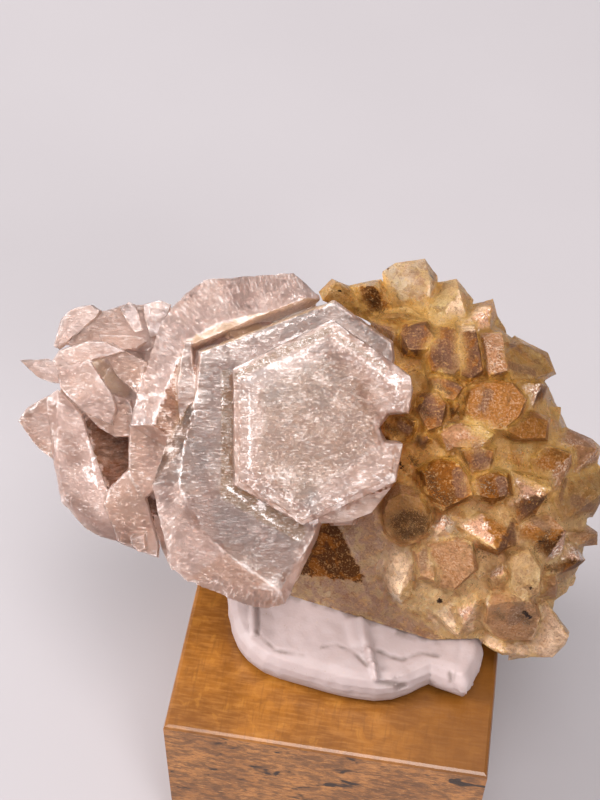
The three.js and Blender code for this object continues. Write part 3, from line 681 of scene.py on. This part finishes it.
# The quartz: the golden crystals on the right, with their brown and glittering coats.
quartz = {
    "cell": 0.306,        # mm, as for the calcite
    "waviness": 0.05,
    "chips": 0.12,
    "fillet": 0.7,        # mm, how far from a seam the crystals merge into the golden mass
    "filletRounds": 4,
    "ior": 1.55,
    "cloud": 0.65,        # how much light goes through the golden glass
    "spill": 0.45,        # mm, how far a coat strays over the edge of its facet
    "spillGrain": 1.5,
    "depthColour": (244, 192, 104),
    "depth": 200,         # absorption, per metre
    "middle": (255, 192, 88),   # the glass's colour in the middle, at the top and at the foot
    "top": (255, 214, 152),
    "foot": (255, 210, 150),
    # Where those two begin and are whole, mm up the face.
    "topSpan": (7, 15),
    "footSpan": (-8, -16),
    "paleSpan": (-18, -22),     # where golden coats pale once more
    # painted shade: the right side, away from the light, is made darker
    "dimSpan": (24, 32),        # mm to the right, where all gets darker
    "dim": 0.25,
    # Each look's coat, how much that covers, the glass under it, how it glitters, and pixels on its facets.
    "looks": {
        "golden": ((222, 150, 56), 0.42, None, 0, []),
        "clear": ((230, 212, 182), 0.1, (238, 212, 180), 0, [(399, 280), (403, 272), (417, 268), (431, 272),
            (413, 291), (405, 301), (374, 282), (435, 281)]),
        # bright: pale facets, partly painted highlight where they catch the light
        "bright": ((250, 228, 200), 0.7, (255, 236, 210), 0.3, [(432, 290), (429, 295), (396, 597),
            (452, 528), (487, 601)]),
        "yellow": ((232, 190, 126), 0.3, (240, 200, 136), 0, [(441, 293), (451, 284), (463, 289),
            (441, 307)]),
        "cream": ((250, 210, 174), 0.6, (255, 218, 180), 0.1, [(456, 309), (475, 312), (468, 326), (464, 329),
            (401, 564), (409, 576), (392, 569), (388, 579), (447, 617), (465, 613), (470, 623), (461, 630),
            (435, 620), (446, 626), (443, 534), (435, 533), (389, 589)]),
        "umber": ((70, 36, 6), 0.95, None, 0, [(375, 304), (460, 455), (466, 463), (399, 428), (539, 399),
            (547, 547), (562, 563), (561, 570), (570, 569), (337, 546), (329, 567)]),
        "olive": ((118, 76, 28), 0.6, None, 0, [(389, 321), (384, 316), (398, 313), (412, 317), (527, 363),
            (573, 505), (586, 511), (574, 491), (591, 478), (405, 517)]),
        "purple": ((92, 60, 44), 0.92, None, 0, [(417, 337), (447, 353), (470, 354), (447, 388), (452, 410),
            (479, 459), (433, 411), (421, 440), (456, 412), (510, 537), (525, 506)]),
        # glint: pinkish coats whose white glitter is painted highlight
        "glint": ((196, 144, 114), 0.95, None, 1, [(528, 387), (532, 397), (476, 319), (485, 323), (522, 487),
            (477, 528), (440, 523), (449, 521), (556, 550), (572, 549), (568, 555), (581, 556), (496, 572),
            (502, 566), (565, 541), (568, 536), (460, 609)]),
        "orange": ((136, 82, 26), 0.85, None, 0.05, [(496, 405), (548, 462), (531, 429), (497, 527),
            (482, 546), (490, 552), (536, 535), (531, 464), (507, 437), (514, 438)]),
        "ochre": ((104, 56, 4), 0.92, None, 0, [(448, 484), (492, 486)]),
        "rose": ((164, 114, 82), 0.8, None, 0.3, [(387, 327), (384, 331), (496, 353), (573, 439), (574, 448),
            (582, 459), (507, 428), (468, 436), (559, 476)]),
        "lilac": ((154, 108, 74), 0.75, None, 0.1, [(426, 565), (453, 563), (579, 537), (583, 530),
            (590, 542), (544, 522), (392, 492), (410, 490), (513, 620), (551, 578), (550, 594)]),
        "smoky": ((140, 106, 86), 0.45, (204, 164, 138), 0, [(360, 600), (345, 590), (380, 612), (400, 622),
            (372, 577), (300, 590), (331, 601), (358, 611), (385, 622)]),
        "peach": ((238, 198, 166), 0.7, (248, 210, 178), 0.1, [(545, 639), (551, 618), (551, 650), (535, 633),
            (491, 642), (513, 645), (522, 651), (563, 646)]),
    },
    # Marks on the crystals, in the same way.
    "marks": {
        "pit": [(0.6, 1, (440, 601)), (0.5, 0.6, (431, 275), (434, 279)), (0.4, 1, (340, 291)),
            (0.4, 0.8, (531, 588)), (0.4, 0.6, (430, 582)), (0.6, 0.7, (524, 612), (530, 618)),
            (0.5, 0.6, (541, 541)), (0.7, 0.5, (399, 462), (404, 470)), (0.5, 0.6, (449, 456))],
        # purple-brown parts of facets
        "dusk": [(1, 1, (458, 474), (461, 492)), (0.8, 1, (501, 480), (503, 492)),
            (0.8, 0.9, (512, 526), (514, 542)), (0.9, 0.8, (428, 396), (433, 412)),
            (1.7, 0.7, (445, 345), (452, 368)), (0.9, 0.8, (534, 519), (546, 527)),
            (0.9, 0.8, (516, 598), (521, 610)), (1.3, 0.6, (418, 330), (412, 345)),
            (1.2, 0.5, (488, 395), (482, 408)), (1.2, 0.6, (477, 448), (484, 464)),
            (0.8, 0.7, (400, 425), (408, 430)), (0.9, 0.6, (418, 440), (424, 446)),
            (1.1, 0.9, (512, 366), (532, 372)), (0.8, 0.7, (506, 342), (520, 350)),
            (1.1, 0.9, (574, 500), (592, 508)), (0.6, 0.7, (566, 480), (561, 498)),
            (0.8, 0.7, (424, 552), (423, 568)), (1.2, 0.8, (520, 604), (514, 622))],
        # sooty speckles
        "soot": [(1.6, 1.4, (396, 524), (406, 516), (423, 518), (422, 530), (402, 534)),
            (1.6, 0.9, (429, 478), (438, 495), (449, 501)), (0.8, 1, (460, 450), (467, 464)),
            (1, 0.9, (528, 506), (546, 499)), (1.3, 0.9, (538, 548), (548, 534)),
            (0.9, 1, (547, 567), (557, 570)), (1.2, 1, (520, 616), (528, 623)),
            (1.2, 0.7, (497, 610), (503, 618)), (0.6, 0.9, (434, 384), (451, 393)),
            (0.8, 0.9, (424, 410), (431, 416)), (0.6, 1, (451, 410), (456, 414)),
            (0.9, 0.9, (386, 427), (396, 432)), (0.8, 0.9, (411, 458), (417, 464)),
            (1.3, 0.6, (485, 482), (492, 492)), (1.2, 0.9, (372, 300), (380, 310)),
            (1, 0.8, (545, 548), (552, 556)), (1, 0.5, (470, 545), (482, 556)),
            (0.9, 0.7, (506, 436), (515, 441)), (1.2, 0.5, (540, 368), (549, 372)),
            (0.7, 0.5, (470, 347), (475, 362))],
        # bright golden haze
        "gilt": [(1.6, 0.8, (470, 424), (486, 432), (497, 440)), (1.6, 0.8, (493, 468), (512, 470)),
            (1.4, 0.6, (400, 470), (412, 476)), (1.4, 0.6, (462, 508), (474, 514)),
            (0.9, 0.6, (448, 425), (470, 418)), (1.2, 0.6, (505, 440), (530, 448)),
            (1.1, 0.6, (440, 372), (462, 378)), (1.4, 0.5, (530, 350), (540, 358))],
    },
    "spreading": ("umber", "olive", "purple", "orange", "ochre", "rose", "lilac"),
    "farLooks": ["purple", "orange", "golden", "lilac", "ochre", "golden", "rose", "umber", "golden", "olive",
        "glint"],
    "farSmallest": 2.5,   # square mm, smaller facets on the hidden sides stay golden
}


def usualQuartz(number, area, face):  # facets that the picture doesn't show get looks of the same kinds
    if area > quartz["farSmallest"] and face.normal.z < 0.1:
        return quartz["farLooks"][number * 7 % len(quartz["farLooks"])]
    return "golden"


def quartzMaterial():
    paint = Paint(bpy.data.materials.new("quartz"))
    place = paint.inFaceMillimetres()
    ridge = paint.stored("ridge")
    valley = paint.stored("valley")
    coat = paint.stored("coat")
    sparkle = paint.stored("sparkle")
    clouds = paint.grain(place, 0.35, 3, 0.55)
    mottle = paint.grain(place, 1.3, 4, 0.65)
    speckle = paint.grain(place, 4.2, 2, 0.65)
    crumbs = paint.cells(place, 3.4)
    pale = paint.stored("pale")

    # the coat draws back from the seams between crystals and is thin where it is mottled
    patches = paint.grain(place, 0.55, 2, 0.6, 0.5)
    reach = (valley + (mottle - 0.5) * 2.2 + (speckle - 0.5) * 0.6).ease(-0.1, 1.3)
    cover = (coat * 1.3 - 0.55 + mottle * 0.65 + (speckle - 0.5) * 0.6).ease(0.1, 0.95) * reach
    # haze: paler golden near the seams, partly the frosted golden mass and partly painted light lifting the
    # shade there
    haze = valley.ease(1.6, 0.2)
    pits = speckle.ease(0.44, 0.3)
    glitter = speckle.ease(0.48, 0.6)
    # edge: along the ridges, partly worn edges and partly painted highlight
    edge = ridge.ease(0.22, 0.04) * mottle.ease(0.5, 0.62)
    pit = (paint.stored("pit") + (speckle - 0.5) * 1.1).ease(0.3, 0.45)
    dusk = (paint.stored("dusk") + (mottle - 0.5) * 0.9).ease(0.1, 0.4)
    soot = (paint.stored("soot") * 0.9 + (mottle - 0.5) * 0.4 + (speckle - 0.5) * 3.6).ease(0.45, 0.6)
    gilt = (paint.stored("gilt") + (mottle - 0.5) * 0.8).ease(0.1, 0.6)

    coatTint = paint.coats(paint.stored("coatTint", 0), [
        (patches.ease(0.5, 0.62) * (1 - sparkle) * 0.6, (134, 76, 16)),
        (patches.ease(0.45, 0.34) * (1 - sparkle) * 0.5, (72, 42, 18)),
        (valley.ease(2.0, 0.2) * (1 - sparkle) * 0.5, (134, 78, 22)),
        (dusk * 0.75, (100, 68, 52)),
        ((pits * (0.35 + mottle * 0.4)).most(soot * 0.85), (50, 26, 6)),
        (speckle.ease(0.56, 0.7) * 0.35, (196, 152, 104)),
        # painted glitter: small paler specks, and white sparkle on the glint facets
        (glitter * mottle.ease(0.45, 0.6) * (0.3 - sparkle * 0.3), (186, 134, 82)),
        (glitter * sparkle * patches.ease(0.4, 0.56), (255, 238, 222)),
        # lighter ridges: partly worn edges, partly painted highlight
        (edge * (0.15 + sparkle * 0.5), (226, 170, 104)),
        (pit, (34, 18, 10)),
    ])
    deeper = clouds.ease(0.4, 0.65) * (0.5 - pale * 0.4)
    glassTint = paint.blend(deeper, paint.stored("glassTint", 0), (190, 122, 50))
    # broad golden faces break up into smaller ones, some darker and some paler
    broken = paint.vector("ADD", place, paint.stretch(paint.grain(place, 0.8, 1), (1.2, 1.2, 1.2)))
    shade = paint.part(paint.cells(broken, 0.42, out=1), 0)
    lump = paint.part(paint.cells(broken, 1.2, out=1), 0)
    glassTint = paint.coats(glassTint, [
        (shade.ease(0.75, 0.95) * 0.45, (150, 94, 34)),
        (shade.ease(0.25, 0.05) * 0.4, (255, 218, 150)),
        (lump.ease(0.6, 0.9) * 0.4, (160, 98, 34)),
        (lump.ease(0.35, 0.1) * 0.4, (255, 222, 156)),
        (mottle.ease(0.5, 0.66) * 0.5, (252, 208, 126)),
        # paler at the seams: partly painted light
        (haze * mottle.ease(0.25, 0.5) * (0.85 - pale * 0.75), (236, 184, 96)),
        (speckle.ease(0.56, 0.66) * 0.5, (255, 222, 156)),
        (speckle.ease(0.44, 0.34) * 0.4, (150, 92, 30)),
        (gilt * 0.6, (250, 206, 120)),
        (crumbs.ease(0.14, 0.05) * speckle.ease(0.5, 0.4) * 0.7, (96, 56, 16)),
    ])

    flat = paint.normal()
    relief = paint.shimmer(paint.shimmer(flat, broken, 0.42, 0.5), broken, 1.2, 0.5)
    relief = paint.bump(speckle * 0.9 + mottle * 1.2, 0.2, 0.9, Normal=relief)
    facets = paint.shimmer(flat, place, 2.6, 0.4 + sparkle * 0.8)
    facets = paint.bump(speckle * 1.3 + mottle * 0.4, 0.16, 1.0, Normal=facets)
    glass = paint.shader(glassTint, 0.1 + mottle * 0.2 + haze * 0.12, {
        "IOR": quartz["ior"], "Specular IOR Level": 0.12, "Transmission Weight": quartz["cloud"],
        "Subsurface Weight": 0.8, "Subsurface Radius": (1, 0.85, 0.6), "Subsurface Scale": 0.0015,
        "Normal": relief}, subsurface_method="BURLEY")
    crust = paint.shader(coatTint, 0.5 + speckle * 0.16, {
        "IOR": quartz["ior"], "Specular IOR Level": 0.08, "Coat Roughness": 0.18, "Normal": facets,
        "Coat Weight": (sparkle * 0.8 + edge * 0.2 + glitter * 0.12).least(1)})
    covered = (cover * (1 - gilt)).most(dusk * 0.8).most(soot * 0.9).most(pit)
    return paint.crystal(covered, glass, crust, quartz)


def makeQuartz():
    piece, points, layers, looks = survey("quartz", "quartz_cluster", quartz, usualQuartz)
    coat, sparkle, pale, shift = (np.zeros(len(points)) for _ in range(4))
    coatTint, glassTint = np.ones((len(points), 4)), np.ones((len(points), 4))
    middle, top, foot = (np.array(seen(quartz[name])) for name in ("middle", "top", "foot"))
    for i, (x, y, _) in enumerate(points):
        spot = Vector(points[i])
        colour, coat[i], glass, sparkle[i], _ = quartz["looks"][looks[i]]
        high = along(y, *quartz["topSpan"])
        low = along(y, *quartz["footSpan"])
        pale[i] = low
        paler = 0.6 * low + 0.3 * along(y, *quartz["paleSpan"]) if looks[i] == "golden" else 0
        # painted shade towards the right
        dim = 1 - quartz["dim"] * along(x, *quartz["dimSpan"])
        coatTint[i, :3] = (foot * paler + np.array(seen(colour)) * (1 - paler)) * dim
        clear = np.array(seen(glass)) if glass else middle * (1 - high - low) + top * high + foot * low
        glassTint[i, :3] = clear * dim
        nick = max(0, noise.noise(spot * 1.3)) * max(0, 1 - layers["ridge"][i] / 0.6)
        shift[i] = quartz["waviness"] * (0.5 + noise.noise(spot * 0.7)) + quartz["chips"] * nick
    points = worn(piece, points, shift)
    fillet = (1 - eased(layers["valley"], 0.3, quartz["fillet"])) * eased(layers["ridge"], 0.1, 0.6)
    points = easedPoints(piece.data, points, 0.8 * fillet, quartz["filletRounds"])
    store(piece.data, coat=coat, sparkle=sparkle, pale=pale, coatTint=coatTint, glassTint=glassTint, **layers)
    settleInBox(piece, points, "quartz_cluster")
    dress(piece, "quartz_cluster", quartzMaterial())


makeQuartz()


# The putty that holds the specimen on the block.
putty = {
    "cell": 0.24,        # mm between the points of the dense mesh
    "white": (169, 151, 149),
    "shade": (112, 94, 88),
    "dirt": (132, 112, 88),
    "swell": 0.5,        # mm, how uneven it is
    "contactShade": 1.1,        # mm, how far the painted shade reaches out from the specimen
    "gap": 0.12,         # mm kept free under the specimen
    "creaseDeep": 0.2,   # mm
    "creaseWide": 0.24,
    "foot": 0.6,         # mm above its underside, where it begins to be uneven
    "footFade": 2,       # mm further up, where it is so in full
    # Where it was pressed: each roll's height, half width and picture pixels, and the creases' pixels.
    "rolls": [(0.75, 0.8, (362, 622), (369, 654)), (0.7, 0.62, (369, 654), (373, 667)),
        (0.55, 0.42, (373, 667), (376, 678)), (0.5, 1.2, (353, 622), (357, 640)),
        (0.45, 0.6, (253, 607), (254, 632)), (0.4, 1.6, (474, 648), (468, 688))],
    "creases": [[(311, 656), (322, 648), (336, 645), (350, 649), (366, 664), (372, 680)],
        [(257, 632), (275, 650), (311, 657)], [(378, 650), (390, 655), (402, 658), (422, 652), (440, 657)],
        [(375, 681), (400, 682), (420, 679), (438, 676)], [(352, 622), (350, 636), (357, 648)],
        [(446, 660), (452, 676)]],
}


def onPutty(px, py):  # where the line of sight through a pixel meets the putty's top, mm in the row frame
    eye = Vector(view["centre"]) + faceOut * view["away"]
    aim = turn @ lineOfSight(px, py)
    return (eye + aim * ((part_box("putty")[1].z / mm - eye.z) / aim.z)).to_2d()


def makePutty():
    inMillimetres = Matrix.Scale(1 / mm, 4)
    solid = solidOf("putty", inMillimetres)
    specimen = [BVHTree.FromBMesh(solidOf(node, inMillimetres))
                for node in ("calcite_cluster", "quartz_cluster")]
    piece = densePiece("putty_pad", solid, putty["cell"])
    points = vectorsOf(piece.data.vertices, "co")
    normals = vectorsOf(piece.data.vertex_normals, "vector")
    low = Vector(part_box("putty")[0]) / mm
    rolls = [(tall, wide, [onPutty(*pixel) for pixel in line]) for tall, wide, *line in putty["rolls"]]
    creases = [[onPutty(*pixel) for pixel in line] for line in putty["creases"]]
    groove = np.zeros(len(points))
    for i, point in enumerate(points):
        spot = Vector(point)
        flat = spot.to_2d()
        loose = share((spot.z - low.z - putty["foot"]) / putty["footFade"])
        rise = putty["swell"] * (noise.noise(spot * 0.16) + noise.noise(spot * 0.6) * 0.25) * loose
        if normals[i][2] > 0.2:
            besideRoll = 0
            for tall, wide, line in rolls:
                near = awayFrom(line, flat) / wide
                rise += tall * max(0, 1 - near * near) * loose
                besideRoll = max(besideRoll, 1 - abs(near - 1.1) / 0.3)
            nearest = min(awayFrom(line, flat) for line in creases)
            pressed = share(0.6 + noise.noise(spot * 0.45) * 1.8) * loose
            dip = max(besideRoll * 0.6, 1 - nearest / (putty["creaseWide"] * 2.6), 0) * pressed
            touching = min(tree.find_nearest(spot, 3)[3] or 3 for tree in specimen)
            # painted shade where the putty meets the specimen
            contactShade = (1 - touching / putty["contactShade"]) * share(0.5 + noise.noise(spot * 0.7) * 2)
            groove[i] = max(dip, contactShade)
            rise -= putty["creaseDeep"] * math.exp(-(nearest / putty["creaseWide"]) ** 2) * pressed
        moved = spot + Vector(normals[i]) * rise
        for tree in specimen:
            over = tree.ray_cast(Vector((moved.x, moved.y, low.z + 1)), Vector((0, 0, 1)))[0]
            if over is not None:
                moved.z = min(moved.z, max(spot.z - 1, over.z - putty["gap"]))
        moved.z = max(moved.z, low.z)
        points[i] = moved
    store(piece.data, groove=groove)
    settle(piece, points * mm)
    dress(piece, "putty", puttyMaterial())
    solid.free()


def puttyMaterial():
    paint = Paint(bpy.data.materials.new("putty"))
    place = paint.inRowMillimetres()
    groove = paint.stored("groove")
    soft = paint.grain(place, 0.35, 3, 0.5)
    fine = paint.grain(place, 2.6, 3, 0.6)
    grit = paint.grain(place, 5, 2, 0.6)
    tint = paint.coats(putty["white"], [
        (soft.ease(0.35, 0.65) * 0.3, (158, 138, 134)),
        # painted shade in the creases, beside the rolls and along the specimen
        ((groove + (soft - 0.5) * 0.8 + (fine - 0.5) * 0.3).ease(0.15, 1.05) * 0.85, putty["shade"]),
        (grit.ease(0.66, 0.72) * soft.ease(0.52, 0.6) * 0.7, putty["dirt"]),
        (fine.ease(0.62, 0.7) * soft.ease(0.45, 0.35) * 0.25, (190, 164, 132)),
    ])
    relief = paint.bump(soft + fine * 0.12, 0.4, 0.5)
    return paint.finish(paint.shader(tint, 0.4 + fine * 0.2, {
        "IOR": 1.45, "Subsurface Weight": 0.4, "Subsurface Radius": (1, 0.8, 0.7), "Subsurface Scale": 0.001,
        "Normal": relief}))


makePutty()


# The wood block, under a clear golden lacquer, its sides less polished.
wood = {
    "lacquer": (146, 90, 28),
    "lacquerDark": (116, 68, 18),
    "lacquerShade": (104, 60, 12),
    "side": (184, 124, 68),
    "sideDark": (92, 60, 36),
    "streak": (52, 36, 26),
}


def woodMaterial():
    paint = Paint(bpy.data.materials.new("lacqueredWood"))
    place = paint.inRowMillimetres()
    top = paint.part(paint.normal(), 2).ease(0.2, 0.4)
    clouds = paint.grain(place, 0.11, 3, 0.5)
    fibre = paint.grain(paint.stretch(place, (0.35, 2.6, 2.6)), 1.1, 4, 0.6)
    lines = paint.grain(paint.stretch(place, (2.6, 0.25, 1)), 0.9, 4, 0.6)
    dashes = paint.grain(paint.stretch(place, (0.34, 0.4, 1)), 1.1, 5, 0.7, 0.4)
    fleck = paint.grain(paint.stretch(place, (0.4, 0.5, 1.2)), 2.6, 3, 0.65)
    blots = paint.grain(paint.stretch(place, (0.5, 0.6, 1)), 0.42, 3, 0.6, 0.5)
    stains = paint.grain(place, 0.4, 4, 0.6, 0.4)
    above = paint.coats(wood["lacquer"], [
        (clouds.ease(0.35, 0.65), wood["lacquerDark"]),
        (stains.ease(0.46, 0.62) * 0.5, (106, 60, 14)),
        (stains.ease(0.44, 0.34) * 0.3, (176, 118, 48)),
        (fibre.ease(0.4, 0.7) * 0.35, (172, 116, 58)),
        (lines.ease(0.5, 0.7) * 0.35, (98, 58, 18)),
    ])
    side = paint.coats(wood["side"], [
        (clouds.ease(0.4, 0.6) * 0.6, (146, 94, 50)),
        (stains.ease(0.46, 0.6) * 0.4, wood["sideDark"]),
        (dashes.ease(0.44, 0.58) * 0.65, wood["sideDark"]),
        (fleck.ease(0.5, 0.62) * 0.5, wood["sideDark"]),
        (fleck.ease(0.42, 0.32) * 0.4, (222, 168, 110)),
        (blots.ease(0.6, 0.68), wood["streak"]),
    ])
    above = paint.blend(paint.part(place, 0).ease(0, 16) * 0.7, above, wood["lacquerShade"])
    tint = paint.blend(top, side, above)
    relief = paint.bump((1 - top) * dashes * 0.8 + fibre * 0.15, 0.2, 0.6)
    return paint.finish(paint.shader(tint, 0.5 - top * 0.22 + fibre * 0.1, {
        "IOR": 1.5, "Coat Weight": top * 0.25, "Coat Roughness": 0.15, "Normal": relief}))


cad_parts["wood_block"].data.materials.clear()
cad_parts["wood_block"].data.materials.append(woodMaterial())


# The floor and the soft light.
studio = {
    "floor": (160, 154, 157),
    "floorHalf": 3,    # metres
    "skyTowards": (-0.5, 0.2, 0.84),  # the sky is brightest there, and its strength goes from low to high
    "skySpan": (-0.3, 1),
    "skyLow": 0.14,
    "skyHigh": 0.72,
    "skyColour": (1.0, 0.97, 0.96, 1),
    "aim": (0, 0, 0.045),  # metres, what the lights face
    # Each light's direction, then metres away, size and watts.
    "lights": {
        "window": ((-0.85, -0.2, 0.6), 1.5, 0.5, 28),
        "above": ((0.1, -0.25, 1.0), 1.5, 0.8, 17),
        "front": ((0.6, -0.8, 0.6), 1.5, 0.45, 8),
    },
    "bounces": {"max_bounces": 5, "diffuse_bounces": 3, "transmission_bounces": 5},
}


def softLight(name, direction, away, size, watts):
    lamp = bpy.data.lights.new(name, "AREA")
    lamp.size = size
    lamp.energy = watts
    aim = Vector(direction).normalized()
    holder = addObject(name, lamp)
    holder.location = Vector(studio["aim"]) + aim * away
    holder.rotation_euler = aim.to_track_quat("Z", "Y").to_euler()


def makeWorld():  # a soft sky, brighter above and to the left
    paint = Paint(bpy.data.worlds.new("studio"))
    facing = paint.vector("DOT_PRODUCT", paint.node("ShaderNodeTexCoord"), studio["skyTowards"], out="Value")
    strength = paint.node("ShaderNodeMapRange", {}, {
        "Value": facing, "From Min": studio["skySpan"][0], "From Max": studio["skySpan"][1],
        "To Min": studio["skyLow"], "To Max": studio["skyHigh"]})
    sky = paint.node("ShaderNodeBackground", {}, {"Color": studio["skyColour"], "Strength": strength})
    paint.node("ShaderNodeOutputWorld", {}, {"Surface": sky})
    return paint.owner


def makeFloor():
    paint = Paint(bpy.data.materials.new("paleFloor"))
    tone = paint.blend(paint.grain(paint.inRowMillimetres(), 0.02, 2), studio["floor"], (166, 160, 163))
    solid = bmesh.new()
    bmesh.ops.create_grid(solid, x_segments=2, y_segments=2, size=studio["floorHalf"])
    floor = addSolid("floor", solid)
    solid.free()
    floor.data.materials.append(paint.finish(paint.shader(tone, 0.8, {})))


def makeStudio():
    makeFloor()
    bpy.context.scene.world = makeWorld()
    bpy.context.scene.view_settings.view_transform = "Standard"
    for name, count in studio["bounces"].items():
        setattr(bpy.context.scene.cycles, name, count)
    for name, values in studio["lights"].items():
        softLight(name, *values)
    print("studio: a floor, a sky and %d lights" % len(studio["lights"]))


makeStudio()
